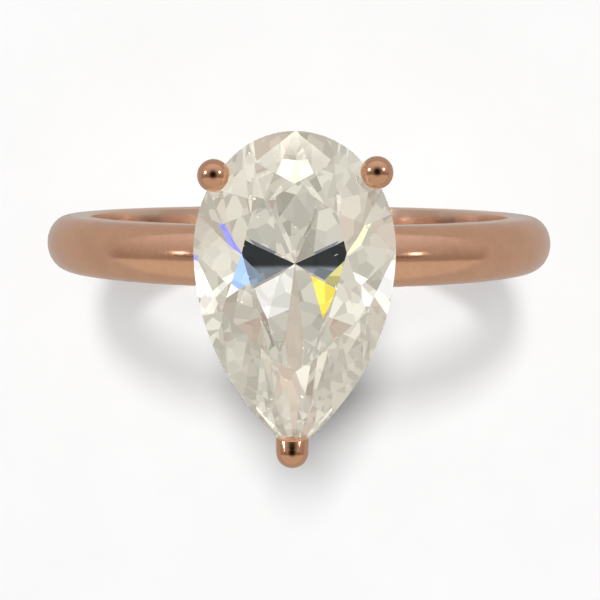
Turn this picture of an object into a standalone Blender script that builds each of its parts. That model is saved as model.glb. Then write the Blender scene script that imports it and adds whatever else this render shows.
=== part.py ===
"""Solitaire engagement ring: a plain D-shaped shank and a peg head whose three round claws hold a
pear-cut stone.

The ring stands upright. The finger axis runs along Y, the stone faces +Z, its round end points to +Y
and its tip to -Y. Heights below are above the finger axis. All pieces hang on one empty on that axis,
which is raised so that the world origin is the middle of the base of the ring's bounding box.
"""

import math

import bmesh
import bpy
from mathutils import Matrix, Vector

MM = 0.001
GAP = 0.02 * MM  # clearance between neighbours, where the real pieces are soldered or seated
SHARP_DEGREES = 40.0  # an edge that turns more than this is shaded as a corner

# Shank: a band with a flat inside, flat sides and a domed outside.
BORE_RADIUS = 8.25 * MM
SHANK_WIDTH = 2.1 * MM
SIDE_RADIUS = 9.05 * MM  # where the flat sides end and the dome starts
SHANK_RADIUS = 9.9 * MM  # crest of the dome
BORE_EDGE = 0.08 * MM  # eased edges of the bore
SHANK_STEPS = 96
DOME_STEPS = 7

# Stone: its outline is a half ellipse at the round end and two arcs that meet at the tip.
STONE_HALF_WIDTH = 3.15 * MM
STONE_HEAD = 3.7 * MM  # from the belly line to the round end
STONE_TAIL = 6.3 * MM  # from the belly line to the tip
BELLY_Y = 0.52 * MM
CULET = Vector((0.0, 0.06 * MM, 10.4 * MM))
GIRDLE_LOW_Z = 13.08 * MM
GIRDLE_HIGH_Z = 13.28 * MM
TABLE_Z = 14.2 * MM
STAR_CORNER = 0.6  # how far up the crown the star facets' lower corners lie
PAVILION_CORNER = 0.4  # how far up the pavilion its girdle facets' lower corners lie
HEAD_STEPS = 40
TAIL_STEPS = 28
FACET_SNAP = 2e-7  # a corner this near a facet's plane lies on it

# Places along the outline, counted anticlockwise from the right end of the belly line, where a main
# facet meets the girdle, and how far the table's corner is set in from it.
MAIN_FACETS = (
    (0, 1.55 * MM),
    (7, 1.55 * MM),
    (20, 1.6 * MM),
    (33, 1.55 * MM),
    (40, 1.55 * MM),
    (56, 1.55 * MM),
    (68, 2.6 * MM),
    (80, 1.55 * MM),
)
HALF_WAYS = (4, 14, 26, 36, 48, 62, 74, 88)  # where two girdle facets meet between main facets

# Claws: round wires that rise from the cup, turn upright at the girdle and end in a ball.
WIRE_RADIUS = 0.42 * MM
BALL_RADIUS = 0.51 * MM
BALL_Z = 13.4 * MM
LEFT_BALL = Vector((-2.51 * MM, 2.84 * MM, BALL_Z))
RIGHT_BALL = Vector((2.53 * MM, 2.95 * MM, BALL_Z))
TIP_BALL = Vector((-0.05 * MM, -5.81 * MM, BALL_Z))
TIP_LIP = 0.46 * MM  # how far the tip claw reaches over the stone from its ball's centre
FOOT_RADIUS = 0.85 * MM  # of the circle that the wires start from
FOOT_Z = 10.3 * MM
LEAVE_OUT = 0.55  # share of the way out to the ball, and of the way up, that the curve's
LEAVE_UP = 0.12  # first handle covers
ARRIVE_DOWN = 0.5  # share of the way up that its last handle drops below the ball
WIRE_BEVEL = 4  # Blender's bevel resolution: 12 sides
WIRE_STEPS = 12
BALL_STEPS = 20

# Rails: closed wires inside the claws, each set in from the girdle's outline.
RAIL_TIP_RADIUS = 0.5 * MM
GALLERY_INSET = 0.95 * MM
GALLERY_Z = 11.85 * MM
BASE_INSET = 1.97 * MM
BASE_Z = 10.95 * MM
RAIL_RADIUS = 0.28 * MM
RAIL_BEVEL = 2  # 8 sides
RAIL_HEAD_STEPS = 20
RAIL_TAIL_STEPS = 14
TIP_STEPS = 6

# Peg: a turned pin in a blind hole in the crest of the shank, under a cup whose rim carries the claws.
PEG_RADIUS = 0.65 * MM
PEG_LOW_Z = 9.1 * MM
PEG_HIGH_Z = 10.0 * MM  # the pin's top, inside the cup
RIM_RADIUS = 1.25 * MM
RIM_LOW_Z = 10.05 * MM
RIM_HIGH_Z = 10.2 * MM
RIM_EDGE = 0.05 * MM
NECK_RADIUS = 0.85 * MM
NECK_Z = 9.9 * MM  # where the cove under the rim meets the neck, whose foot fits the shank's dome
NECK_LOW_Z = 9.3 * MM  # the neck before it is cut to the dome
COVE_STEPS = 5
PEG_STEPS = 32

# The two tail arcs: their radius, and how far past the middle line their centres lie.
ARC_RADIUS = (STONE_HALF_WIDTH**2 + STONE_TAIL**2) / (2 * STONE_HALF_WIDTH)
ARC_OFFSET = ARC_RADIUS - STONE_HALF_WIDTH

# Colour and roughness of each piece of polished rose gold, and of the clear stone.
GOLD_LOOKS = {
    "shank": ((0.82, 0.54, 0.43, 1.0), 0.16),
    "head_peg": ((0.82, 0.53, 0.41, 1.0), 0.18),
    "base_rail": ((0.82, 0.53, 0.41, 1.0), 0.15),
    "gallery_rail": ((0.82, 0.53, 0.41, 1.0), 0.15),
    "prong_left": ((0.80, 0.48, 0.35, 1.0), 0.1),
    "prong_right": ((0.80, 0.48, 0.35, 1.0), 0.1),
    "prong_tip": ((0.80, 0.48, 0.35, 1.0), 0.1),
}
STONE_COLOUR = (0.95, 0.95, 0.92, 1.0)
STONE_INDEX = 2.42  # of refraction


def clear_scene():
    for obj in list(bpy.data.objects):
        bpy.data.objects.remove(obj, do_unlink=True)


def set_material(obj, colour, roughness, metallic):
    material = bpy.data.materials.new(obj.name)
    material.use_nodes = True
    material.diffuse_color = colour
    shader = material.node_tree.nodes["Principled BSDF"]
    shader.inputs["Base Color"].default_value = colour
    shader.inputs["Roughness"].default_value = roughness
    shader.inputs["Metallic"].default_value = metallic
    obj.data.materials.append(material)
    return shader


def finish_gold(obj):
    colour, roughness = GOLD_LOOKS[obj.name]
    set_material(obj, colour, roughness, 1.0)
    obj.data.shade_smooth()
    obj.data.set_sharp_from_angle(angle=math.radians(SHARP_DEGREES))


def add_object(name, mesh, parent):
    obj = bpy.data.objects.new(name, mesh)
    bpy.context.scene.collection.objects.link(obj)
    obj.parent = parent
    return obj


def mesh_from(bm, name):
    bmesh.ops.recalc_face_normals(bm, faces=bm.faces)
    mesh = bpy.data.meshes.new(name)
    bm.to_mesh(mesh)
    bm.free()
    return mesh


def add_boolean(obj, operation, tool):
    modifier = obj.modifiers.new(f"{operation.lower()} {tool.name}", "BOOLEAN")
    modifier.operation = operation
    modifier.solver = "EXACT"
    modifier.object = tool
    tool.hide_render = True
    tool.display_type = "WIRE"


def turned_mesh(name, profile, axis, steps, closed=True):
    """A solid of revolution about an axis through the origin.

    The profile is a closed loop of points, or an open chain whose two ends lie on the axis.
    """
    bm = bmesh.new()
    corners = [bm.verts.new(point) for point in profile]
    following = corners[1:] + corners[:1] if closed else corners[1:]
    edges = [bm.edges.new((a, b)) for a, b in zip(corners, following)]
    bmesh.ops.spin(
        bm,
        geom=corners + edges,
        cent=(0.0, 0.0, 0.0),
        axis=axis,
        angle=math.tau,
        steps=steps,
        use_merge=True,
    )
    bmesh.ops.remove_doubles(bm, verts=bm.verts, dist=1e-7)
    return mesh_from(bm, name)


# Shank


def shank_profile(grow):
    """Grown by a distance: from the bore round one side to the crest, then mirrored."""
    half = SHANK_WIDTH / 2 + grow
    bore = BORE_RADIUS - grow
    side = [(half - BORE_EDGE, bore), (half, bore + BORE_EDGE)]
    for step in range(DOME_STEPS):
        angle = step * math.pi / 2 / DOME_STEPS
        rise = (SHANK_RADIUS + grow - SIDE_RADIUS) * math.sin(angle)
        side.append((half * math.cos(angle), SIDE_RADIUS + rise))
    other_side = [(-y, z) for y, z in reversed(side)]
    return [Vector((0.0, y, z)) for y, z in side + [(0.0, SHANK_RADIUS + grow)] + other_side]


def shank_mesh(name, grow):
    return turned_mesh(name, shank_profile(grow), (0, 1, 0), SHANK_STEPS)


def build_shank(parent):
    shank = add_object("shank", shank_mesh("shank", 0.0), parent)
    drill = pin_mesh("peg_hole", PEG_RADIUS + GAP, PEG_LOW_Z - GAP, SHANK_RADIUS + MM)
    hole = add_object("peg_hole", drill, parent)
    add_boolean(shank, "DIFFERENCE", hole)
    finish_gold(shank)


# Peg and cup


def pin_mesh(name, radius, low_z, high_z):
    """A plain upright pin."""
    bm = bmesh.new()
    bmesh.ops.create_cone(
        bm,
        cap_ends=True,
        segments=PEG_STEPS,
        radius1=radius,
        radius2=radius,
        depth=high_z - low_z,
        matrix=Matrix.Translation((0.0, 0.0, (high_z + low_z) / 2)),
    )
    return mesh_from(bm, name)


def cup_profile():
    """From the middle of the rim's flat top, round the rim, in along the cove and down the neck."""
    chain = [
        (0.0, RIM_HIGH_Z),
        (RIM_RADIUS - RIM_EDGE, RIM_HIGH_Z),
        (RIM_RADIUS, RIM_HIGH_Z - RIM_EDGE),
    ]
    for step in range(COVE_STEPS + 1):
        angle = step * math.pi / 2 / COVE_STEPS
        radius = RIM_RADIUS - (RIM_RADIUS - NECK_RADIUS) * math.sin(angle)
        chain.append((radius, NECK_Z + (RIM_LOW_Z - NECK_Z) * math.cos(angle)))
    chain += [(NECK_RADIUS, NECK_LOW_Z), (0.0, NECK_LOW_Z)]
    return [Vector((radius, 0.0, height)) for radius, height in chain]


def build_peg(parent):
    """The neck's foot is cut to the shank's dome before the pin is joined on."""
    cup = turned_mesh("head_peg", cup_profile(), (0, 0, 1), PEG_STEPS, closed=False)
    peg = add_object("head_peg", cup, parent)
    add_boolean(peg, "DIFFERENCE", add_object("shank_seat", shank_mesh("shank_seat", GAP), parent))
    pin = pin_mesh("peg_pin", PEG_RADIUS, PEG_LOW_Z, PEG_HIGH_Z)
    add_boolean(peg, "UNION", add_object("peg_pin", pin, parent))
    finish_gold(peg)


# Stone


def pear_outline(inset, tip_radius, head_steps, tail_steps):
    """The stone's outline set in by a distance, anticlockwise from the right end of the belly line."""
    arc_radius = ARC_RADIUS - inset
    turn = math.acos(ARC_OFFSET / (arc_radius - tip_radius))
    points = []
    for step in range(head_steps):
        angle = math.pi * step / head_steps
        x = (STONE_HALF_WIDTH - inset) * math.cos(angle)
        y = BELLY_Y + (STONE_HEAD - inset) * math.sin(angle)
        points.append(Vector((x, y, 0.0)))
    tail = []
    for step in range(tail_steps + 1):
        angle = turn * step / tail_steps
        x = arc_radius * math.cos(angle) - ARC_OFFSET
        tail.append(Vector((x, BELLY_Y - arc_radius * math.sin(angle), 0.0)))
    points += [Vector((-point.x, point.y, 0.0)) for point in tail[:-1]]
    if tip_radius > 0:
        tip_y = BELLY_Y - (arc_radius - tip_radius) * math.sin(turn)
        for step in range(TIP_STEPS):
            angle = math.pi + turn + (math.pi - 2 * turn) * step / TIP_STEPS
            offset = Vector((math.cos(angle), math.sin(angle), 0.0))
            points.append(Vector((0.0, tip_y, 0.0)) + tip_radius * offset)
    return points + list(reversed(tail))[:-1]


def plane_through(a, b, c):
    """A facet's plane as a point and its outward normal, away from the middle of the stone."""
    normal = (b - a).cross(c - a).normalized()
    middle = Vector((0.0, 0.0, (GIRDLE_LOW_Z + GIRDLE_HIGH_Z) / 2))
    return a, (normal if normal.dot(a - middle) > 0 else -normal)


def meeting_point(first, second, height):
    """Where the planes of two neighbouring main facets cross at a height."""
    level = Vector((0.0, 0.0, height))
    (point1, normal1), (point2, normal2) = first, second
    reach1 = normal1.dot(point1 - level)
    reach2 = normal2.dot(point2 - level)
    turn = normal1.x * normal2.y - normal1.y * normal2.x
    x = (reach1 * normal2.y - reach2 * normal1.y) / turn
    y = (normal1.x * reach2 - normal2.x * reach1) / turn
    return Vector((x, y, height))


def facet_planes():
    """Every facet of the stone: mains, stars and girdle facets of the crown, and the pavilion's."""
    outline = pear_outline(0.0, 0.0, HEAD_STEPS, TAIL_STEPS)
    low = [Vector((point.x, point.y, GIRDLE_LOW_Z)) for point in outline]
    high = [Vector((point.x, point.y, GIRDLE_HIGH_Z)) for point in outline]
    star_z = GIRDLE_HIGH_Z + STAR_CORNER * (TABLE_Z - GIRDLE_HIGH_Z)
    deep_z = CULET.z + PAVILION_CORNER * (GIRDLE_LOW_Z - CULET.z)
    crown_mains = []
    pavilion_mains = []
    corners = []
    for index, inset in MAIN_FACETS:
        tangent = (outline[(index + 1) % len(outline)] - outline[index - 1]).normalized()
        inward = Vector((-tangent.y, tangent.x, 0.0))
        corner = high[index] + inset * inward
        corner.z = TABLE_Z
        corners.append(corner)
        crown_mains.append(plane_through(high[index], high[index] + MM * tangent, corner))
        pavilion_mains.append(plane_through(low[index], low[index] + MM * tangent, CULET))
    planes = [(corners[0], Vector((0.0, 0.0, 1.0)))] + crown_mains + pavilion_mains
    for number, half_way in enumerate(HALF_WAYS):
        following = (number + 1) % len(MAIN_FACETS)
        star = meeting_point(crown_mains[number], crown_mains[following], star_z)
        planes.append(plane_through(corners[number], corners[following], star))
        deep = meeting_point(pavilion_mains[number], pavilion_mains[following], deep_z)
        for index in (MAIN_FACETS[number][0], MAIN_FACETS[following][0]):
            planes.append(plane_through(star, high[index], high[half_way]))
            planes.append(plane_through(deep, low[index], low[half_way]))
    return planes


def cut_facet(bm, point, normal):
    """Cut away what lies outside a facet's plane and close the cut with one face."""
    geometry = bm.verts[:] + bm.edges[:] + bm.faces[:]
    bmesh.ops.bisect_plane(
        bm,
        geom=geometry,
        dist=FACET_SNAP,
        plane_co=point,
        plane_no=normal,
        clear_outer=True,
    )
    rim = [edge for edge in bm.edges if edge.is_boundary]
    if rim:
        bmesh.ops.edgeloop_fill(bm, edges=rim)


def stone_mesh(name, grow):
    """The faceted stone, cut from an upright prism with its outline, with every face grown outward."""
    bm = bmesh.new()
    outline = pear_outline(-grow, grow, HEAD_STEPS, TAIL_STEPS)
    low = CULET.z - MM
    base = bm.faces.new([bm.verts.new((point.x, point.y, low)) for point in outline])
    raised = bmesh.ops.extrude_face_region(bm, geom=[base])["geom"]
    upper = [item for item in raised if isinstance(item, bmesh.types.BMVert)]
    bmesh.ops.translate(bm, verts=upper, vec=(0.0, 0.0, TABLE_Z + MM - low))
    bmesh.ops.recalc_face_normals(bm, faces=bm.faces)
    for point, normal in facet_planes():
        cut_facet(bm, point + grow * normal, normal)
    return mesh_from(bm, name)


def build_stone(parent):
    stone = add_object("stone", stone_mesh("stone", 0.0), parent)
    shader = set_material(stone, STONE_COLOUR, 0.0, 0.0)
    shader.inputs["Transmission Weight"].default_value = 1.0
    shader.inputs["IOR"].default_value = STONE_INDEX


# Claws and rails


def wire_object(name, points, radius, parent):
    """A round wire along a cubic curve given by its two ends and two handles, as a closed mesh."""
    curve = bpy.data.curves.new(name, "CURVE")
    curve.dimensions = "3D"
    curve.bevel_depth = radius
    curve.bevel_resolution = WIRE_BEVEL
    curve.resolution_u = WIRE_STEPS
    curve.use_fill_caps = True
    spline = curve.splines.new("BEZIER")
    spline.bezier_points.add(1)
    start, end = spline.bezier_points
    start.co, start.handle_right, end.handle_left, end.co = points
    start.handle_left = 2 * points[0] - points[1]
    end.handle_right = 2 * points[3] - points[2]
    return meshed(name, curve, parent)


def ring_object(name, outline, radius, height, parent):
    """A round wire along a closed outline, as a closed mesh."""
    curve = bpy.data.curves.new(name, "CURVE")
    curve.dimensions = "3D"
    curve.bevel_depth = radius
    curve.bevel_resolution = RAIL_BEVEL
    spline = curve.splines.new("POLY")
    spline.points.add(len(outline) - 1)
    for place, point in zip(spline.points, outline):
        place.co = (point.x, point.y, height, 1.0)
    spline.use_cyclic_u = True
    return meshed(name, curve, parent)


def meshed(name, curve, parent):
    """Turn a curve into a mesh object whose faces share their corners."""
    drawn = add_object(f"{name}_curve", curve, None)
    mesh = bpy.data.meshes.new_from_object(drawn.evaluated_get(bpy.context.evaluated_depsgraph_get()))
    bpy.data.objects.remove(drawn)
    bm = bmesh.new()
    bm.from_mesh(mesh)
    bmesh.ops.remove_doubles(bm, verts=bm.verts, dist=1e-7)
    bmesh.ops.recalc_face_normals(bm, faces=bm.faces)
    bm.to_mesh(mesh)
    bm.free()
    mesh.name = name
    return add_object(name, mesh, parent)


def claw_path(ball):
    """From the cup outward under the stone, then upright past the girdle to the ball."""
    outward = Vector((ball.x, ball.y, 0.0)).normalized()
    foot = FOOT_RADIUS * outward + Vector((0.0, 0.0, FOOT_Z))
    reach = (Vector((ball.x, ball.y, 0.0)) - FOOT_RADIUS * outward).length
    rise = ball.z - FOOT_Z
    leave = foot + LEAVE_OUT * reach * outward + Vector((0.0, 0.0, LEAVE_UP * rise))
    arrive = ball - Vector((0.0, 0.0, ARRIVE_DOWN * rise))
    return [foot, leave, arrive, ball]


def ball_object(name, centre, parent):
    bm = bmesh.new()
    bmesh.ops.create_uvsphere(bm, u_segments=BALL_STEPS, v_segments=BALL_STEPS // 2, radius=BALL_RADIUS)
    ball = add_object(name, mesh_from(bm, name), parent)
    ball.location = centre
    return ball


def lipped_ball_object(name, centre, parent):
    """A ball drawn out towards +Y into a short round lip with a flat end."""
    bm = bmesh.new()
    bmesh.ops.create_uvsphere(
        bm,
        u_segments=BALL_STEPS,
        v_segments=BALL_STEPS // 2,
        radius=BALL_RADIUS,
        matrix=Matrix.Rotation(math.pi / 2, 4, "X"),
    )
    front = [face for face in bm.faces if face.calc_center_median().y > 0]
    bmesh.ops.delete(bm, geom=front, context="FACES")
    rim = [edge for edge in bm.edges if edge.is_boundary]
    drawn = bmesh.ops.extrude_edge_only(bm, edges=rim)["geom"]
    ends = [item for item in drawn if isinstance(item, bmesh.types.BMVert)]
    bmesh.ops.translate(bm, verts=ends, vec=(0.0, TIP_LIP, 0.0))
    bmesh.ops.edgeloop_fill(bm, edges=[edge for edge in bm.edges if edge.is_boundary])
    ball = add_object(name, mesh_from(bm, name), parent)
    ball.location = centre
    return ball


def build_claw(name, centre, lipped, tools, parent):
    claw = wire_object(name, claw_path(centre), WIRE_RADIUS, parent)
    make_ball = lipped_ball_object if lipped else ball_object
    add_boolean(claw, "UNION", make_ball(f"{name}_ball", centre, parent))
    for tool in tools:
        add_boolean(claw, "DIFFERENCE", tool)
    finish_gold(claw)


def build_rail(name, inset, height, wires, parent):
    outline = pear_outline(inset, RAIL_TIP_RADIUS, RAIL_HEAD_STEPS, RAIL_TAIL_STEPS)
    rail = ring_object(name, outline, RAIL_RADIUS, height, parent)
    for wire in wires:
        add_boolean(rail, "DIFFERENCE", wire)
    finish_gold(rail)


def build_head(parent):
    """The cup and stone cut their seats into the claws, and the claws cut notches into the rails."""
    seat = add_object("stone_seat", stone_mesh("stone_seat", GAP), parent)
    rim = pin_mesh("rim_seat", RIM_RADIUS + GAP, PEG_LOW_Z, RIM_HIGH_Z + GAP)
    rim_seat = add_object("rim_seat", rim, parent)
    balls = (
        ("prong_left", LEFT_BALL, False),
        ("prong_right", RIGHT_BALL, False),
        ("prong_tip", TIP_BALL, True),
    )
    notches = []
    for name, centre, lipped in balls:
        build_claw(name, centre, lipped, (rim_seat, seat), parent)
        notches.append(wire_object(f"{name}_notch", claw_path(centre), WIRE_RADIUS + GAP, parent))
    build_rail("gallery_rail", GALLERY_INSET, GALLERY_Z, notches, parent)
    build_rail("base_rail", BASE_INSET, BASE_Z, notches, parent)


def build_ring():
    clear_scene()
    centre = bpy.data.objects.new("bore_centre", None)
    bpy.context.scene.collection.objects.link(centre)
    low_y = TIP_BALL.y - BALL_RADIUS
    high_y = BELLY_Y + STONE_HEAD
    centre.location = (0.0, -(low_y + high_y) / 2, SHANK_RADIUS)
    build_shank(centre)
    build_peg(centre)
    build_head(centre)
    build_stone(centre)


build_ring()
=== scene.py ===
"""Looks of the pear-cut solitaire engagement ring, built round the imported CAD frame.

The fine pieces follow the CAD pieces they stand for: their places and outer sizes come from the frame,
and the named values below give the shapes between. Lengths are in metres, written as counts of MM.
"""

import math

import bmesh
import bpy
from mathutils import Matrix, Vector


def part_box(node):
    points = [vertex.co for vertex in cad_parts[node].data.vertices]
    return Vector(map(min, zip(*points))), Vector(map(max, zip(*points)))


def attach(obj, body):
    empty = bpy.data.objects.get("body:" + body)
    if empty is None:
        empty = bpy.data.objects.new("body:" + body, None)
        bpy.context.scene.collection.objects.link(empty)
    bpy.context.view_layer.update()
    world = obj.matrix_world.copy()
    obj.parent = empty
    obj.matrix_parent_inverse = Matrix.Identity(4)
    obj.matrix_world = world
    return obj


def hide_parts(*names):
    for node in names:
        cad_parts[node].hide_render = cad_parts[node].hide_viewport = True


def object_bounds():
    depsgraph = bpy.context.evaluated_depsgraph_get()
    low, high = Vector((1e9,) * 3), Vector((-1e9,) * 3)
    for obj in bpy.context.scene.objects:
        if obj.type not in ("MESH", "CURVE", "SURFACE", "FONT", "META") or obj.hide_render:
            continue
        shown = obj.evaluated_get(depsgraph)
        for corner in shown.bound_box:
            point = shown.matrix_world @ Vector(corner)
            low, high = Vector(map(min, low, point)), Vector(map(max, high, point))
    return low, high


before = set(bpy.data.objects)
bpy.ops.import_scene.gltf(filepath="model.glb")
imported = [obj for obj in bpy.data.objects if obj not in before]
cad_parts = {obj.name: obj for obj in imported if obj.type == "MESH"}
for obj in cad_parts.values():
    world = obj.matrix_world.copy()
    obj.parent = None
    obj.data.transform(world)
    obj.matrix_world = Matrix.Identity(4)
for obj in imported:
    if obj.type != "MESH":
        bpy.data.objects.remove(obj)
CAD_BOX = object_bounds()

MM = 0.001
BODY = "root"

# Shank: a flat bore with eased edges, flat sides and an elliptic dome.
BORE_RADIUS = 8.25 * MM
SIDE_RADIUS = 9.05 * MM
BORE_EDGE = 0.08 * MM
EDGE_STEPS = 6
COVE_STEPS = 10
DOME_STEPS = 28
SHANK_STEPS = 320

# Head: heights are above the finger axis.
RIM_RADIUS = 1.25 * MM
RIM_LOW = 10.05 * MM
RIM_HIGH = 10.2 * MM
RIM_EDGE = 0.06 * MM
NECK_RADIUS = 0.85 * MM
NECK_HEIGHT = 9.9 * MM  # where the cove under the rim meets the neck
NECK_LOW = 9.2 * MM  # the neck before it is cut to the shank's dome
CUP_SIDES = 96
WIRE_RADIUS = 0.42 * MM
BALL_RADIUS = 0.51 * MM
TIP_LIP = 0.46 * MM
LIP_EDGE = 0.07 * MM
LIP_DROP = 0.36  # how far the lip's back falls towards its end
FOOT_RADIUS = 0.85 * MM
FOOT_HEIGHT = 10.3 * MM
LEAVE_OUT = 0.55  # the claws' curve leaves the foot by this share of the way out
LEAVE_UP = 0.12  # and this share of the rise
ARRIVE_DOWN = 0.5  # and comes to the ball from this share of the rise below it
WIRE_SIDES = 40
WIRE_STEPS = 48
BALL_STEPS = 28

# Rails: round wires set in from the girdle's outline.
HALF_WIDTH = 3.15 * MM
HEAD_LENGTH = 3.7 * MM
TAIL_LENGTH = 6.3 * MM
RAIL_TIP_RADIUS = 0.5 * MM
RAIL_RADIUS = 0.28 * MM
GALLERY_INSET = 0.95 * MM
BASE_INSET = 1.97 * MM
RAIL_SIDES = 28
RAIL_HEAD_STEPS = 72
RAIL_TAIL_STEPS = 40
RAIL_TIP_STEPS = 14

# Meshes: which edges stay sharp, which triangles make one facet, and the seat cut in the claws.
SMOOTH_DEGREES = 38.0
CLAW_SMOOTH_DEGREES = 30.0
FACET_DEGREES = 0.9
WELD = 1e-7
SEAT_GAP = 0.012 * MM
SEAT_STIFFNESS = 1e-4  # keeps the seat's corners from running off where facets are nearly parallel
NECK_CLEARANCE = 1.02  # the wire's last ring stays this much short of where the ball begins

# Noise: scales are counts per metre, ranges are where it counts as fully dark and fully light.
NOISE_RANGE = (0.35, 0.65)
WIDE_NOISE_RANGE = (0.3, 0.7)

# Rose gold, in linear colour, with its roughness and how much its mottling varies.
BAND_GOLD = (0.86, 0.50, 0.33)
PALE_PAINTED_GOLD = (0.94, 0.70, 0.56)  # the flat sides and the bore, painted paler as painted light standing in for the bright room they mirror
# the band's gold painted darker on the claws: painted shade
SHADED_CLAW_GOLD = (0.78, 0.435, 0.275)
BAND_FINISH = (0.16, 0.05)
HEAD_FINISH = (0.15, 0.04)
CLAW_FINISH = (0.07, 0.03)
GLOSSIEST = 0.75  # of the roughness
DULLEST = 1.3
CLOUD_SCALE = 900.0
SPECKLE_SCALE = 5200.0
STREAK_SCALE = 9000.0
STREAK_STRETCH = 0.04  # streaks are drawn out round the band by this factor
MOTTLE_CLOUD = 0.6  # the cloud's share in the mottling, the speckle being the rest
GLOSS_CLOUD = 0.5  # the cloud's share in the gloss, the streaks being the rest
RELIEF_SPECKLE = 0.7  # the speckle's share in the relief, the streaks being the rest
# Painted light: inside these radii the band's gold turns to the paler painted gold.
PALE_PAINT_FROM = SIDE_RADIUS - 0.1 * MM
PALE_PAINT_TO = SIDE_RADIUS + 0.05 * MM
BUMP_STRENGTH = 0.35
BUMP_HEIGHT = 0.003 * MM

# A pale painted glow that mostly takes the place of the metal where it is seen through the stone's many
# facets.
THROUGH_STONE_GLOW = (0.72, 0.66, 0.57, 1.0)
THROUGH_STONE_GLOW_SHARE = 0.75

# Stone: light that has met this many facets is cut off and shows a painted glow, the tone of the direction
# it then has inside.
STONE_DEPTH = 2.5
STONE_INDEX = 2.42
STONE_CLOUD_SCALE = 350.0
STONE_TINTS = ((0.985, 0.98, 0.955, 1.0), (0.995, 0.995, 0.985, 1.0))
# Tones of the painted glow inside the stone; the blush is a painted pink reflection of the gold.
STONE_PALE = (0.80, 0.77, 0.67, 1.0)
STONE_DIM = (0.51, 0.48, 0.40, 1.0)
STONE_BLUSH = (0.54, 0.42, 0.34, 1.0)
BLUSH_SHARE = 0.7
TONE_RANGE = (0.36, 0.62)
BLUSH_RANGE = (0.56, 0.66)
TONE_DRIFT = 2.6  # how fast the tone and the blush change with direction
BLUSH_DRIFT = 3.2
BLUSH_SHIFT = (5.0, 3.0, 1.0)  # takes the blush from another part of the noise than the tone
CHIP_SCALE = 1600.0
CHIP_DARKEST = 0.76
CHIP_LIGHTEST = 1.24
GLOW_FROM = 1.5 * MM  # the painted glow of the round end grows lighter from here, beyond the culet
GLOW_TO = 3.0 * MM
GLOW = 1.28
GLINT_SCALE = 3600.0
GLINT_RANGE = (0.74, 0.78)
GLINT = (1.3, 1.25, 1.0, 1.0)

# Painted flashes inside the stone: direction, half widths and colour.
FLASH_EDGE = 0.15
STONE_FLASHES = (
    (-0.18, 0.11, 0.05, 0.05, (1.3, 1.3, 1.27)),
    (0.18, 0.11, 0.05, 0.05, (1.1, 1.1, 1.1)),
    (0.03, 0.12, 0.04, 0.04, (1.3, 1.3, 1.25)),
    (-0.04, 0.25, 0.05, 0.05, (1.2, 1.15, 1.05)),
    (0.18, 0.53, 0.05, 0.04, (1.2, 1.15, 1.05)),
    (-0.18, 0.53, 0.05, 0.04, (1.2, 1.15, 1.05)),
    (0.32, 0.32, 0.04, 0.05, (1.2, 1.2, 1.15)),
    (-0.32, 0.32, 0.04, 0.05, (1.2, 1.2, 1.1)),
    (0.39, 0.40, 0.04, 0.05, (1.2, 1.15, 1.1)),
    (0.27, 0.46, 0.03, 0.03, (1.15, 1.15, 1.05)),
    (0.44, 0.46, 0.03, 0.03, (1.0, 0.99, 0.92)),
    (-0.38, 0.39, 0.04, 0.05, (1.3, 1.05, 0.16)),
    (-0.25, 0.04, 0.04, 0.05, (0.8, 0.75, 0.3)),
    (0.18, 0.0, 0.045, 0.06, (0.45, 0.72, 1.25)),
    (0.25, 0.04, 0.035, 0.05, (0.34, 0.42, 0.55)),
    (0.11, -0.38, 0.045, 0.05, (0.28, 0.3, 1.15)),
    (-0.11, -0.38, 0.045, 0.05, (1.1, 1.05, 0.7)),
    (0.25, -0.73, 0.07, 0.05, (1.15, 1.08, 0.92)),
    (-0.25, -0.73, 0.07, 0.05, (1.15, 1.08, 0.92)),
    (0.0, -0.74, 0.1, 0.05, (0.98, 0.92, 0.78)),
    (0.25, 0.53, 0.04, 0.04, (0.55, 0.44, 0.36)),
    (-0.25, 0.53, 0.04, 0.04, (0.55, 0.43, 0.34)),
)
BOW_TIE = (0.33, -0.13, 0.06, 0.17)  # where painted dark and grey facets, the bow tie's painted shade, face each other across the culet
BOW_DARK = (0.035, 0.038, 0.04, 1.0)
BOW_GREY = (0.30, 0.33, 0.36, 1.0)
BOW_EDGE = -0.25 * MM  # from the culet to where the dark turns grey
BOW_BLEND = 0.1 * MM
BOW_SOFTNESS = 0.1

# Floor: white to the camera, and painted darker to the stone and darker still to the metal: painted shade
# in what they show of it.
FLOOR_SIZE = 4.0
PAPER_SCALE = 160.0
PAPER_SEEN = ((0.925, 0.925, 0.925, 1.0), (0.945, 0.945, 0.945, 1.0))
PAPER_THROUGH_STONE = (0.62, 0.6, 0.54, 1.0)
PAPER_ELSEWHERE = (0.50, 0.485, 0.465, 1.0)

# Rooms: a patch is given by its direction (x, y), its half widths and its softness.
BACKDROP = (0.957, 0.957, 0.957, 1.0)
SKY = 0.01  # the even light on the floor, to which the shadow lamps' shares add
HEAD_LAMP = ((-0.013, 0.874), (0.03, 0.009), 0.6)  # mirrored by the facet at the round end
HEAD_LAMP_GLOW = (3.0, 2.9, 2.6, 1.0)
TABLE_SHADOW = ((0.0, -0.04), (0.2, 0.2), 0.2)  # mirrored by the table
TABLE_DARK = (0.05, 0.05, 0.05, 1.0)
ROOM_FRONT = (0.63, 0.61, 0.55, 1.0)
ROOM_MIDDLE = (0.33, 0.275, 0.24, 1.0)
ROOM_BACK = (0.74, 0.74, 0.76, 1.0)
FRONT_RANGE = (-0.28, -0.2)  # directions in Y between which the front gives way to the middle
BACK_RANGE = (-0.2, 0.9)  # and the middle slowly to the back
ROOM_STREAKS = tuple(((side * 0.73, -0.02), (0.1, 0.05), 0.4) for side in (-1.0, 1.0))
STREAK_DARK = (0.14, 0.1, 0.07, 1.0)
ROOM_SHADOW = ((0.0, 0.13), (0.46, 0.48), 0.6)  # the dark shape of whoever stands over the ring
ROOM_DARK = (0.02, 0.015, 0.01, 1.0)

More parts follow.
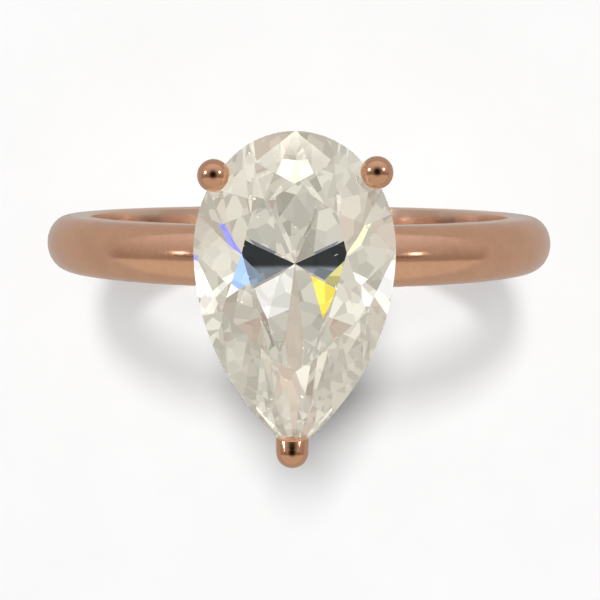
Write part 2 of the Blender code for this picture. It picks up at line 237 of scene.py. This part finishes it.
# Lamps: name, direction, share of the floor's light and width in degrees.
BAND_SHADOWS = (
    ("band_key", (-0.04, 0.42, 1.0), 0.3, 7.0),
    ("band_fill", (-0.03, 0.2, 1.0), 0.14, 12.0),
)
HEAD_SHADOWS = (("head_key", (-0.005, 0.28, 1.0), 0.57, 8.0),)
CLAW_GLINTS = (
    ("glint_left", (-0.83, 0.32, 0.46), 0.055, 17.0),
    ("glint_right", (0.72, 0.38, 0.58), 0.055, 15.0),
)
BAND_GLINTS = (
    ("flash_left", (-0.78, 0.12, 0.6), 0.006, 5.0),
    ("flash_right", (0.78, 0.12, 0.6), 0.006, 5.0),
)

# Where the camera stands, seen from the bore's centre.
CAMERA_DISTANCE = 60.0 * MM
CAMERA_SIDE = math.radians(0.58)
CAMERA_TILT = math.radians(3.54)
CAMERA_ROLL = math.radians(0.23)
CAMERA_LENS = 90.1
CAMERA_SENSOR = 36.0
CAMERA_NEAR = 1.0 * MM
CAMERA_FAR = 20.0
AIM = Vector((0.05 * MM, -2.37 * MM, 0.0))


# Places taken from the frame


def middle(low, high):
    return (low + high) / 2


SHANK_LOW, SHANK_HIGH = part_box("shank")
SHANK_RADIUS = (SHANK_HIGH.x - SHANK_LOW.x) / 2
SHANK_HALF = (SHANK_HIGH.y - SHANK_LOW.y) / 2
# The bore's centre
CENTRE = Vector((middle(SHANK_LOW.x, SHANK_HIGH.x), middle(SHANK_LOW.y, SHANK_HIGH.y), 0.0))
CENTRE.z = SHANK_LOW.z + SHANK_RADIUS
BELLY_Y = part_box("stone")[1].y - HEAD_LENGTH


# Mesh helpers


def add_piece(name, mesh, node, material, smooth_degrees=SMOOTH_DEGREES):
    """A finished piece that stands for one CAD node."""
    mesh.name = name
    obj = bpy.data.objects.new(name, mesh)
    bpy.context.scene.collection.objects.link(obj)
    mesh.materials.clear()
    mesh.materials.append(material)
    mesh.shade_smooth()
    mesh.set_sharp_from_angle(angle=math.radians(smooth_degrees))
    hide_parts(node)
    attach(obj, BODY)
    return obj


def mesh_from(bm, name):
    bmesh.ops.recalc_face_normals(bm, faces=bm.faces)
    mesh = bpy.data.meshes.new(name)
    bm.to_mesh(mesh)
    bm.free()
    return mesh


def grid_faces(bm, rings, closed):
    """Quads between neighbouring rings of corners, and between the last and the first if closed."""
    count = len(rings)
    for index in range(count if closed else count - 1):
        ring = rings[index]
        following = rings[(index + 1) % count]
        for side in range(len(ring)):
            after = (side + 1) % len(ring)
            bm.faces.new((ring[side], ring[after], following[after], following[side]))


def turned_mesh(name, profile, place, steps):
    """A closed profile turned about an axis; place(radius, along, angle) gives a point."""
    bm = bmesh.new()
    rings = []
    for step in range(steps):
        angle = math.tau * step / steps
        rings.append([bm.verts.new(place(radius, along, angle)) for radius, along in profile])
    grid_faces(bm, rings, True)
    return mesh_from(bm, name)


def capped_mesh(name, profile, place, steps):
    """An open profile whose two ends lie on the axis, turned about it."""
    bm = bmesh.new()
    first = bm.verts.new(place(0.0, profile[0][1], 0.0))
    last = bm.verts.new(place(0.0, profile[-1][1], 0.0))
    rings = []
    for radius, along in profile[1:-1]:
        rings.append([bm.verts.new(place(radius, along, math.tau * k / steps)) for k in range(steps)])
    grid_faces(bm, rings, False)
    for side in range(steps):
        after = (side + 1) % steps
        bm.faces.new((first, rings[0][after], rings[0][side]))
        bm.faces.new((last, rings[-1][side], rings[-1][after]))
    return mesh_from(bm, name)


def boolean_mesh(name, mesh, steps):
    """The mesh after a list of (operation, tool mesh) Booleans."""
    obj = bpy.data.objects.new(name, mesh)
    bpy.context.scene.collection.objects.link(obj)
    tools = []
    for operation, tool_mesh in steps:
        tool = bpy.data.objects.new(f"{name}_tool", tool_mesh)
        bpy.context.scene.collection.objects.link(tool)
        tools.append(tool)
        modifier = obj.modifiers.new(operation.lower(), "BOOLEAN")
        modifier.operation = operation
        modifier.solver = "MANIFOLD"
        modifier.object = tool
    graph = bpy.context.evaluated_depsgraph_get()
    made = bpy.data.meshes.new_from_object(obj.evaluated_get(graph))
    for unwanted in [obj] + tools:
        bpy.data.objects.remove(unwanted, do_unlink=True)
    return made


# Stone


def stone_mesh():
    """The CAD stone with its corners merged and each facet as one flat face."""
    bm = bmesh.new()
    bm.from_mesh(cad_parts["stone"].data)
    bmesh.ops.remove_doubles(bm, verts=bm.verts, dist=WELD)
    limit = math.radians(FACET_DEGREES)
    bmesh.ops.dissolve_limit(bm, angle_limit=limit, verts=bm.verts, edges=bm.edges)
    return mesh_from(bm, "pear_stone")


def seat_move(vert):
    """How far a corner has to move for each face about it to move outward by the clearance."""
    total = Matrix(((0.0,) * 3,) * 3)
    reach = Vector((0.0, 0.0, 0.0))
    for face in vert.link_faces:
        for row in range(3):
            for column in range(3):
                total[row][column] += face.normal[row] * face.normal[column]
        reach += SEAT_GAP * face.normal
    for row in range(3):
        total[row][row] += SEAT_STIFFNESS
    return total.inverted() @ reach


def seat_mesh(stone):
    """The stone with every face moved outward by the seat's clearance."""
    bm = bmesh.new()
    bm.from_mesh(stone)
    moves = [seat_move(vert) for vert in bm.verts]
    for vert, move in zip(bm.verts, moves):
        vert.co += move
    return mesh_from(bm, "seat")


# Shank


def around_finger(radius, along, angle):
    return CENTRE + Vector((radius * math.sin(angle), along, radius * math.cos(angle)))


def around_peg(radius, height, angle):
    return CENTRE + Vector((radius * math.cos(angle), radius * math.sin(angle), height))


def shank_profile():
    half = SHANK_HALF
    side = []
    for step in range(EDGE_STEPS + 1):
        angle = step * math.pi / 2 / EDGE_STEPS
        radius = BORE_RADIUS + BORE_EDGE * (1 - math.cos(angle))
        side.append((radius, half - BORE_EDGE * (1 - math.sin(angle))))
    for step in range(DOME_STEPS):
        angle = step * math.pi / 2 / DOME_STEPS
        radius = SIDE_RADIUS + (SHANK_RADIUS - SIDE_RADIUS) * math.sin(angle)
        side.append((radius, half * math.cos(angle)))
    return side + [(SHANK_RADIUS, 0.0)] + [(radius, -along) for radius, along in reversed(side)]


def build_shank(material):
    mesh = turned_mesh("band", shank_profile(), around_finger, SHANK_STEPS)
    return add_piece("band", mesh, "shank", material)


# Head


def cup_profile():
    """From the neck's foot up, out along the cove and round the rim to its flat top."""
    profile = [(0.0, NECK_LOW), (NECK_RADIUS, NECK_LOW)]
    for step in range(COVE_STEPS + 1):
        angle = step * math.pi / 2 / COVE_STEPS
        radius = RIM_RADIUS - (RIM_RADIUS - NECK_RADIUS) * math.cos(angle)
        profile.append((radius, NECK_HEIGHT + (RIM_LOW - NECK_HEIGHT) * math.sin(angle)))
    for step in range(EDGE_STEPS + 1):
        angle = step * math.pi / 2 / EDGE_STEPS
        radius = RIM_RADIUS - RIM_EDGE * (1 - math.cos(angle))
        profile.append((radius, RIM_HIGH - RIM_EDGE * (1 - math.sin(angle))))
    return profile + [(0.0, RIM_HIGH)]


def build_cup(shank, material):
    cup = capped_mesh("cup", cup_profile(), around_peg, CUP_SIDES)
    made = boolean_mesh("cup", cup, [("DIFFERENCE", shank.data.copy())])
    return add_piece("cup", made, "head_peg", material)


def ball_centre(node):
    low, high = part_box(node)
    x = high.x - BALL_RADIUS if node == "prong_right" else low.x + BALL_RADIUS
    y = low.y + BALL_RADIUS if node == "prong_tip" else high.y - BALL_RADIUS
    return Vector((x, y, high.z - BALL_RADIUS))


def claw_path(ball):
    """Points of the cubic from the cup outward under the stone and upright to the ball."""
    flat = Vector((ball.x - CENTRE.x, ball.y - CENTRE.y, 0.0))
    outward = flat.normalized()
    foot = CENTRE + FOOT_RADIUS * outward + Vector((0.0, 0.0, FOOT_HEIGHT))
    rise = ball.z - foot.z
    leave = foot + LEAVE_OUT * (flat.length - FOOT_RADIUS) * outward + Vector((0.0, 0.0, LEAVE_UP * rise))
    arrive = ball - Vector((0.0, 0.0, ARRIVE_DOWN * rise))
    points = []
    for step in range(WIRE_STEPS + 1):
        t = step / WIRE_STEPS
        s = 1 - t
        points.append(s**3 * foot + 3 * s * s * t * leave + 3 * s * t * t * arrive + t**3 * ball)
    return points, outward


def ring_about(bm, centre, first, second, radius):
    """A ring of corners about a centre, starting towards first and turning towards second."""
    ring = []
    for k in range(WIRE_SIDES):
        angle = math.tau * k / WIRE_SIDES
        offset = math.cos(angle) * first + math.sin(angle) * second
        ring.append(bm.verts.new(centre + radius * offset))
    return ring


def wire_rings(bm, points, side):
    rings = []
    for index, point in enumerate(points):
        before = points[max(index - 1, 0)]
        after = points[min(index + 1, len(points) - 1)]
        across = (after - before).normalized().cross(side).normalized()
        rings.append(ring_about(bm, point, side, across, WIRE_RADIUS))
    return rings


def ball_rings(bm, centre, side, outward):
    """From where the wire goes into the ball up to just below its top."""
    start = math.asin(WIRE_RADIUS / BALL_RADIUS)
    rings = []
    for step in range(BALL_STEPS):
        polar = math.pi - start - (math.pi - start) * step / BALL_STEPS
        height = Vector((0.0, 0.0, BALL_RADIUS * math.cos(polar)))
        rings.append(ring_about(bm, centre + height, side, -outward, BALL_RADIUS * math.sin(polar)))
    return rings


def wire_mesh(name, points, outward, neck):
    """A round wire along the points, up to a neck below the last one, where a ball closes it."""
    bm = bmesh.new()
    side = Vector((0.0, 0.0, 1.0)).cross(outward).normalized()
    end = points[-1]
    kept = [point for point in points if (point - end).length > neck]
    rings = wire_rings(bm, kept, side) + ball_rings(bm, end, side, outward)
    grid_faces(bm, rings, False)
    bm.faces.new(rings[0])
    top = bm.verts.new(end + Vector((0.0, 0.0, BALL_RADIUS)))
    for k in range(WIRE_SIDES):
        bm.faces.new((rings[-1][k], rings[-1][(k + 1) % WIRE_SIDES], top))
    return mesh_from(bm, name)


def lip_mesh(ball):
    """The tip claw's half capsule: a hemisphere towards -Y drawn out into a lip towards +Y."""
    profile = [(0.0, TIP_LIP)]
    for step in range(EDGE_STEPS + 1):
        angle = step * math.pi / 2 / EDGE_STEPS
        radius = BALL_RADIUS - LIP_EDGE * (1 - math.sin(angle))
        profile.append((radius, TIP_LIP - LIP_EDGE * (1 - math.cos(angle))))
    for step in range(BALL_STEPS + 1):
        angle = step * math.pi / 2 / BALL_STEPS
        profile.append((BALL_RADIUS * math.cos(angle), -BALL_RADIUS * math.sin(angle)))

    def place(radius, along, angle):
        height = math.sqrt(1 - LIP_DROP * (max(along, 0.0) / TIP_LIP) ** 2)
        return ball + Vector((radius * math.cos(angle), along, height * radius * math.sin(angle)))

    return capped_mesh("lip", profile, place, WIRE_SIDES * 2)


def build_claw(name, node, seat, material):
    ball = ball_centre(node)
    points, outward = claw_path(ball)
    neck = math.sqrt(BALL_RADIUS**2 - WIRE_RADIUS**2) * NECK_CLEARANCE
    wire = wire_mesh(name, points, outward, neck)
    steps = [("DIFFERENCE", seat.copy())]
    if node == "prong_tip":
        steps.insert(0, ("UNION", lip_mesh(ball)))
    made = boolean_mesh(name, wire, steps)
    return add_piece(name, made, node, material, CLAW_SMOOTH_DEGREES)


def rail_outline(inset):
    """The girdle's outline set in by a distance, with a rounded tip, anticlockwise."""
    big = (HALF_WIDTH**2 + TAIL_LENGTH**2) / (2 * HALF_WIDTH)
    offset = big - HALF_WIDTH
    arc = big - inset
    turn = math.acos(offset / (arc - RAIL_TIP_RADIUS))
    points = []
    for step in range(RAIL_HEAD_STEPS):
        angle = math.pi * step / RAIL_HEAD_STEPS
        x = (HALF_WIDTH - inset) * math.cos(angle)
        points.append(Vector((x, BELLY_Y + (HEAD_LENGTH - inset) * math.sin(angle), 0.0)))
    tail = []
    for step in range(RAIL_TAIL_STEPS + 1):
        angle = turn * step / RAIL_TAIL_STEPS
        tail.append(Vector((arc * math.cos(angle) - offset, BELLY_Y - arc * math.sin(angle), 0.0)))
    points += [Vector((-point.x, point.y, 0.0)) for point in tail[:-1]]
    tip_y = BELLY_Y - (arc - RAIL_TIP_RADIUS) * math.sin(turn)
    for step in range(RAIL_TIP_STEPS):
        angle = math.pi + turn + (math.pi - 2 * turn) * step / RAIL_TIP_STEPS
        offset_point = Vector((math.cos(angle), math.sin(angle), 0.0))
        points.append(Vector((0.0, tip_y, 0.0)) + RAIL_TIP_RADIUS * offset_point)
    return points + list(reversed(tail))[:-1]


def build_rail(name, node, inset, material):
    low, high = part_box(node)
    height = middle(low.z, high.z)
    outline = rail_outline(inset)
    bm = bmesh.new()
    rings = []
    for index, point in enumerate(outline):
        tangent = (outline[(index + 1) % len(outline)] - outline[index - 1]).normalized()
        across = Vector((tangent.y, -tangent.x, 0.0))
        ring = []
        for k in range(RAIL_SIDES):
            angle = math.tau * k / RAIL_SIDES
            offset = math.cos(angle) * across + Vector((0.0, 0.0, math.sin(angle)))
            ring.append(bm.verts.new(point + Vector((0.0, 0.0, height)) + RAIL_RADIUS * offset))
        rings.append(ring)
    grid_faces(bm, rings, True)
    return add_piece(name, mesh_from(bm, name), node, material)


# Materials


class Nodes:
    """Short names for building a node tree."""

    def __init__(self, tree):
        self.tree = tree
        self.tree.nodes.clear()

    def add(self, kind, **settings):
        node = self.tree.nodes.new(kind)
        for name, value in settings.items():
            setattr(node, name, value)
        return node

    def put(self, socket, value):
        if isinstance(value, bpy.types.NodeSocket):
            self.tree.links.new(value, socket)
        else:
            socket.default_value = value

    def maths(self, operation, *values):
        node = self.add("ShaderNodeMath", operation=operation)
        for socket, value in zip(node.inputs, values):
            self.put(socket, value)
        return node.outputs[0]

    def ramp(self, value, low, high, to_low=0.0, to_high=1.0, smooth=True):
        """Map value from low..high to to_low..to_high, clamped, easing in and out if smooth."""
        node = self.add("ShaderNodeMapRange", interpolation_type="SMOOTHSTEP" if smooth else "LINEAR")
        for socket, number in zip(node.inputs, (value, low, high, to_low, to_high)):
            self.put(socket, number)
        return node.outputs[0]

    def noise(self, vector, scale, detail, roughness):
        node = self.add("ShaderNodeTexNoise")
        self.put(node.inputs["Vector"], vector)
        self.put(node.inputs["Scale"], scale)
        self.put(node.inputs["Detail"], detail)
        self.put(node.inputs["Roughness"], roughness)
        return node.outputs["Fac"]

    def blend(self, share, first, second):
        """The first value's share added to the rest of the second."""
        rest = self.maths("MULTIPLY", second, 1 - share)
        return self.maths("ADD", self.maths("MULTIPLY", first, share), rest)

    def mix(self, factor, first, second):
        node = self.add("ShaderNodeMix", data_type="RGBA")
        self.put(node.inputs[0], factor)
        self.put(node.inputs[6], first)
        self.put(node.inputs[7], second)
        return node.outputs[2]

    def vector(self, operation, first, second):
        """A vector moved by a vector (ADD) or stretched by a number (SCALE)."""
        node = self.add("ShaderNodeVectorMath", operation=operation)
        self.put(node.inputs[0], first)
        self.put(node.inputs["Scale" if operation == "SCALE" else 1], second)
        return node.outputs[0]

    def split(self, vector):
        node = self.add("ShaderNodeSeparateXYZ")
        self.put(node.inputs[0], vector)
        return node

    def mix_shaders(self, factor, first, second):
        node = self.add("ShaderNodeMixShader")
        for socket, value in zip(node.inputs, (factor, first, second)):
            self.put(socket, value)
        return node.outputs[0]

    def finish(self, shader, kind="ShaderNodeOutputMaterial"):
        self.put(self.add(kind).inputs["Surface"], shader)


def new_material(name):
    material = bpy.data.materials.new(name)
    material.use_nodes = True
    return material, Nodes(material.node_tree)


def shade(colour, factor):
    return tuple(channel * factor for channel in colour) + (1.0,)


def round_band(n, place):
    """The place drawn out round the band, for streaks, and how much painted paleness the gold gets there.
    """
    split = n.split(place)
    height = n.maths("SUBTRACT", split.outputs["Z"], CENTRE.z)
    turn = n.maths("ARCTAN2", split.outputs["X"], height)
    drawn = n.add("ShaderNodeCombineXYZ")
    n.put(drawn.inputs[0], n.maths("MULTIPLY", turn, SHANK_RADIUS * STREAK_STRETCH))
    n.put(drawn.inputs[1], split.outputs["Y"])
    across = n.maths("MULTIPLY", split.outputs["X"], split.outputs["X"])
    radius = n.maths("SQRT", n.maths("ADD", across, n.maths("MULTIPLY", height, height)))
    return drawn.outputs[0], n.ramp(radius, PALE_PAINT_FROM, PALE_PAINT_TO, 1.0, 0.0)


def glow_through_stone(n, shader):
    """The shader, mostly covered by a pale painted glow where it is seen through the stone."""
    painted_glow = n.add("ShaderNodeEmission")
    n.put(painted_glow.inputs["Color"], THROUGH_STONE_GLOW)
    through = n.add("ShaderNodeLightPath").outputs["Is Transmission Ray"]
    return n.mix_shaders(n.maths("MULTIPLY", through, THROUGH_STONE_GLOW_SHARE), shader, painted_glow.outputs[0])


def polish(n, tint, rough, relief):
    bump = n.add("ShaderNodeBump")
    n.put(bump.inputs["Strength"], BUMP_STRENGTH)
    n.put(bump.inputs["Distance"], BUMP_HEIGHT)
    n.put(bump.inputs["Height"], relief)
    shader = n.add("ShaderNodeBsdfPrincipled")
    n.put(shader.inputs["Base Color"], tint)
    n.put(shader.inputs["Roughness"], rough)
    n.put(shader.inputs["Metallic"], 1.0)
    n.put(shader.inputs["Normal"], bump.outputs[0])
    return shader.outputs[0]


def gold_material(name, colour, finish, on_band=False):
    """Polished rose gold: faint mottling, polishing streaks and a slightly uneven gloss."""
    material, n = new_material(name)
    roughness, mottle = finish
    place = n.add("ShaderNodeTexCoord").outputs["Object"]
    cloud = n.noise(place, CLOUD_SCALE, 3.0, 0.6)
    speckle = n.noise(place, SPECKLE_SCALE, 2.0, 0.6)
    tone = n.ramp(n.blend(MOTTLE_CLOUD, cloud, speckle), *NOISE_RANGE)
    tint = n.mix(tone, shade(colour, 1 - mottle), shade(colour, 1 + mottle))
    drawn = place
    if on_band:
        drawn, pale_paint = round_band(n, place)
        # painted light: paler gold on the bore and the flat sides
        tint = n.mix(pale_paint, tint, shade(PALE_PAINTED_GOLD, 1.0))
    streak = n.noise(drawn, STREAK_SCALE, 3.0, 0.7)
    gloss = n.ramp(n.blend(GLOSS_CLOUD, cloud, streak), *WIDE_NOISE_RANGE)
    rough = n.ramp(gloss, 0.0, 1.0, roughness * GLOSSIEST, roughness * DULLEST, smooth=False)
    relief = n.blend(RELIEF_SPECKLE, speckle, streak)
    # with a painted glow over the gold where it is seen through the stone
    n.finish(glow_through_stone(n, polish(n, tint, rough, relief)))
    return material


def stone_material():
    """Clear brilliant-cut stone, whose facets turn into painted, glowing tones and flashes after a few
    turns inside.
    """
    material, n = new_material("clear_stone")
    place = n.add("ShaderNodeTexCoord").outputs["Object"]
    cloud = n.noise(place, STONE_CLOUD_SCALE, 2.0, 0.5)
    glass = n.add("ShaderNodeBsdfPrincipled")
    n.put(glass.inputs["Base Color"], n.mix(n.ramp(cloud, *NOISE_RANGE), *STONE_TINTS))
    n.put(glass.inputs["Roughness"], 0.0)
    n.put(glass.inputs["IOR"], STONE_INDEX)
    n.put(glass.inputs["Transmission Weight"], 1.0)
    onward = n.vector("SCALE", n.add("ShaderNodeNewGeometry").outputs["Incoming"], -1.0)
    # the painted glow that stands in for light inside the stone
    shown = n.add("ShaderNodeEmission")
    n.put(shown.inputs["Color"], stone_inside(n, onward, place))
    path = n.add("ShaderNodeLightPath")
    deep = n.maths("GREATER_THAN", path.outputs["Ray Depth"], STONE_DEPTH)
    n.finish(n.mix_shaders(deep, glass.outputs[0], shown.outputs[0]))
    return material


def patch(n, split, centre, radii, edge):
    """1 inside an ellipse of directions about (x, y) on the upper half, fading to 0 outside."""
    x = n.maths("DIVIDE", n.maths("SUBTRACT", split.outputs["X"], centre[0]), radii[0])
    y = n.maths("DIVIDE", n.maths("SUBTRACT", split.outputs["Y"], centre[1]), radii[1])
    reach = n.maths("SQRT", n.maths("ADD", n.maths("MULTIPLY", x, x), n.maths("MULTIPLY", y, y)))
    inside = n.ramp(reach, 1 - edge, 1 + edge, 1.0, 0.0)
    above = n.maths("GREATER_THAN", split.outputs["Z"], 0.0)
    return n.maths("MULTIPLY", inside, above)


def stone_tone(n, direction):
    """Pale, warm tones that drift with direction, so that each facet shows its own flat one."""
    drift = n.noise(direction, TONE_DRIFT, 1.0, 0.5)
    tone = n.mix(n.ramp(drift, *TONE_RANGE), STONE_DIM, STONE_PALE)
    blush = n.noise(n.vector("ADD", direction, BLUSH_SHIFT), BLUSH_DRIFT, 1.0, 0.5)
    return n.mix(n.ramp(blush, *BLUSH_RANGE, 0.0, BLUSH_SHARE), tone, STONE_BLUSH)


def stone_figures(n, direction, spot):
    """The painted tones with the bow tie's painted shade across the culet and the painted flashes over
    them, by direction.
    """
    split = n.split(direction)
    tone = stone_tone(n, direction)
    edge = CENTRE.y + BOW_EDGE
    bow = n.mix(n.ramp(spot.outputs["Y"], edge - BOW_BLEND, edge + BOW_BLEND), BOW_GREY, BOW_DARK)
    x, y, width, height = BOW_TIE
    for side in (-x, x):
        tone = n.mix(patch(n, split, (side, y), (width, height), BOW_SOFTNESS), tone, bow)
    for x, y, width, height, colour in STONE_FLASHES:
        inside = patch(n, split, (x, y), (width, height), FLASH_EDGE)
        tone = n.mix(inside, tone, colour + (1.0,))
    return tone


def stone_inside(n, direction, place):
    """What the stone shows inside, all painted light: its figures, broken into chips, a paler round end and
    glints.
    """
    spot = n.split(place)
    cells = n.add("ShaderNodeTexVoronoi")
    n.put(cells.inputs["Vector"], place)
    n.put(cells.inputs["Scale"], CHIP_SCALE)
    chips = n.split(cells.outputs["Color"])
    chip = n.ramp(chips.outputs[0], 0.0, 1.0, CHIP_DARKEST, CHIP_LIGHTEST, smooth=False)
    glow = n.ramp(spot.outputs["Y"], CENTRE.y + GLOW_FROM, CENTRE.y + GLOW_TO, 1.0, GLOW)
    figures = stone_figures(n, direction, spot)
    shown = n.vector("SCALE", figures, n.maths("MULTIPLY", chip, glow))
    glint = n.ramp(n.noise(place, GLINT_SCALE, 1.0, 0.5), *GLINT_RANGE)
    return n.mix(glint, shown, GLINT)


def floor_material():
    """Matt white paper. It is painted darker for the metal and the stone than for the camera, as painted
    shade in what they show of it.
    """
    material, n = new_material("paper")
    place = n.add("ShaderNodeTexCoord").outputs["Object"]
    cloud = n.noise(place, PAPER_SCALE, 4.0, 0.6)
    seen = n.mix(n.ramp(cloud, *WIDE_NOISE_RANGE), *PAPER_SEEN)
    path = n.add("ShaderNodeLightPath")
    tone = n.mix(path.outputs["Is Transmission Ray"], PAPER_ELSEWHERE, PAPER_THROUGH_STONE)
    shader = n.add("ShaderNodeBsdfDiffuse")
    n.put(shader.inputs["Color"], n.mix(path.outputs["Is Camera Ray"], tone, seen))
    n.finish(shader.outputs[0])
    return material


# Stage, light and camera


def build_floor():
    bm = bmesh.new()
    bmesh.ops.create_grid(bm, x_segments=1, y_segments=1, size=FLOOR_SIZE)
    floor = bpy.data.objects.new("floor", mesh_from(bm, "floor"))
    floor.data.materials.append(floor_material())
    floor.location = (0.0, 0.0, CAD_BOX[0].z)
    bpy.context.scene.collection.objects.link(floor)


def stone_ray(n):
    """1 for light that leaves the stone or mirrors off it; the metal's own mirroring is not as sharp."""
    path = n.add("ShaderNodeLightPath")
    return n.maths("MAXIMUM", path.outputs["Is Transmission Ray"], path.outputs["Is Singular Ray"])


def stone_room(n, direction, split):
    """The surroundings as the stone shows them, with a lamp and a dark shape mirrored on top."""
    room = n.mix(patch(n, split, *HEAD_LAMP), stone_tone(n, direction), HEAD_LAMP_GLOW)
    mirrored = n.add("ShaderNodeLightPath").outputs["Is Glossy Ray"]
    shadow = n.maths("MULTIPLY", patch(n, split, *TABLE_SHADOW), mirrored)
    return n.mix(shadow, room, TABLE_DARK)


def metal_room(n, split):
    """What the metal mirrors: a room paler in front and behind, with a dark shape above the ring."""
    back = n.ramp(split.outputs["Y"], *BACK_RANGE, smooth=False)
    front = n.ramp(split.outputs["Y"], *FRONT_RANGE, 1.0, 0.0)
    room = n.mix(front, n.mix(back, ROOM_MIDDLE, ROOM_BACK), ROOM_FRONT)
    for streak in ROOM_STREAKS:
        room = n.mix(patch(n, split, *streak), room, STREAK_DARK)
    return n.mix(patch(n, split, *ROOM_SHADOW), room, ROOM_DARK)


def build_world():
    """White to the camera and faint to the floor, which the lamps light.

    The metal and the stone have their own rooms.
    """
    world = bpy.data.worlds.new("studio")
    world.use_nodes = True
    world.cycles.sampling_method = "NONE"  # so that every ray sees the room meant for its own kind
    bpy.context.scene.world = world
    n = Nodes(world.node_tree)
    direction = n.add("ShaderNodeTexCoord").outputs["Generated"]
    split = n.split(direction)
    path = n.add("ShaderNodeLightPath")
    room = n.mix(path.outputs["Is Glossy Ray"], (SKY, SKY, SKY, 1.0), metal_room(n, split))
    room = n.mix(stone_ray(n), room, stone_room(n, direction, split))
    shader = n.add("ShaderNodeBackground")
    n.put(shader.inputs["Color"], n.mix(path.outputs["Is Camera Ray"], room, BACKDROP))
    n.finish(shader.outputs[0], "ShaderNodeOutputWorld")


def build_lamp(name, towards, share, degrees):
    """A far lamp, hidden from light paths through the stone. The shadow lamps' shares light the paper."""
    sun = bpy.data.lights.new(name, "SUN")
    direction = Vector(towards).normalized()
    sun.angle = math.radians(degrees)
    sun.energy = share * math.pi / direction.z
    lamp = bpy.data.objects.new(name, sun)
    lamp.rotation_euler = direction.to_track_quat("Z", "Y").to_euler()
    lamp.visible_transmission = False
    bpy.context.scene.collection.objects.link(lamp)
    return lamp


def listed(name, pieces):
    collection = bpy.data.collections.new(name)
    for piece in pieces:
        collection.objects.link(piece)
    return collection


def build_lamps(band, head, claws):
    """Lamps whose shadows only the band or only the head casts, then lamps that only glint on the metal."""
    for lamps, pieces in ((BAND_SHADOWS, [band]), (HEAD_SHADOWS, head)):
        for name, towards, share, degrees in lamps:
            lamp = build_lamp(name, towards, share, degrees)
            lamp.light_linking.blocker_collection = listed(name, pieces)
            lamp.visible_glossy = False
    for lamps, pieces in ((CLAW_GLINTS, claws), (BAND_GLINTS, [band])):
        for name, towards, share, degrees in lamps:
            lamp = build_lamp(name, towards, share, degrees)
            lamp.light_linking.receiver_collection = listed(name, pieces)


def build_camera():
    camera = bpy.data.cameras.new("camera")
    camera.lens = CAMERA_LENS
    camera.sensor_width = CAMERA_SENSOR
    camera.clip_start = CAMERA_NEAR
    camera.clip_end = CAMERA_FAR
    obj = bpy.data.objects.new("camera", camera)
    level = math.cos(CAMERA_TILT)
    x = math.sin(CAMERA_SIDE) * level
    z = math.cos(CAMERA_SIDE) * level
    obj.location = CENTRE + CAMERA_DISTANCE * Vector((x, math.sin(CAMERA_TILT), z))
    back = (obj.location - CENTRE - AIM).normalized()
    right = Vector((0.0, 1.0, 0.0)).cross(back).normalized()
    turn = Matrix((right, back.cross(right), back)).transposed().to_4x4()
    obj.rotation_euler = (turn @ Matrix.Rotation(CAMERA_ROLL, 4, "Z")).to_euler()
    bpy.context.scene.collection.objects.link(obj)
    bpy.context.scene.camera = obj


def set_light_paths():
    """Enough bounces for light to find its way out of the stone."""
    cycles = bpy.context.scene.cycles
    cycles.max_bounces = 24
    cycles.glossy_bounces = 20
    cycles.transmission_bounces = 20
    cycles.sample_clamp_indirect = 6.0
    cycles.caustics_refractive = False
    bpy.context.scene.view_settings.view_transform = "Standard"


def build_ring():
    """All the pieces, as the band, the head's pieces and the claws among them."""
    band_gold = gold_material("band_gold", BAND_GOLD, BAND_FINISH, on_band=True)
    head_gold = gold_material("head_gold", BAND_GOLD, HEAD_FINISH)
    claw_gold = gold_material("claw_gold", SHADED_CLAW_GOLD, CLAW_FINISH)
    band = build_shank(band_gold)
    cup = build_cup(band, head_gold)
    stone = stone_mesh()
    seat = seat_mesh(stone)
    claws = [
        build_claw("claw_left", "prong_left", seat, claw_gold),
        build_claw("claw_right", "prong_right", seat, claw_gold),
        build_claw("claw_tip", "prong_tip", seat, claw_gold),
    ]
    gallery = build_rail("gallery_wire", "gallery_rail", GALLERY_INSET, head_gold)
    base = build_rail("base_wire", "base_rail", BASE_INSET, head_gold)
    bpy.data.meshes.remove(seat)
    pear = add_piece("pear_stone", stone, "stone", stone_material())
    pear.data.shade_flat()
    return band, [cup, gallery, base, pear] + claws, claws


build_floor()
build_world()
build_lamps(*build_ring())
build_camera()
set_light_paths()
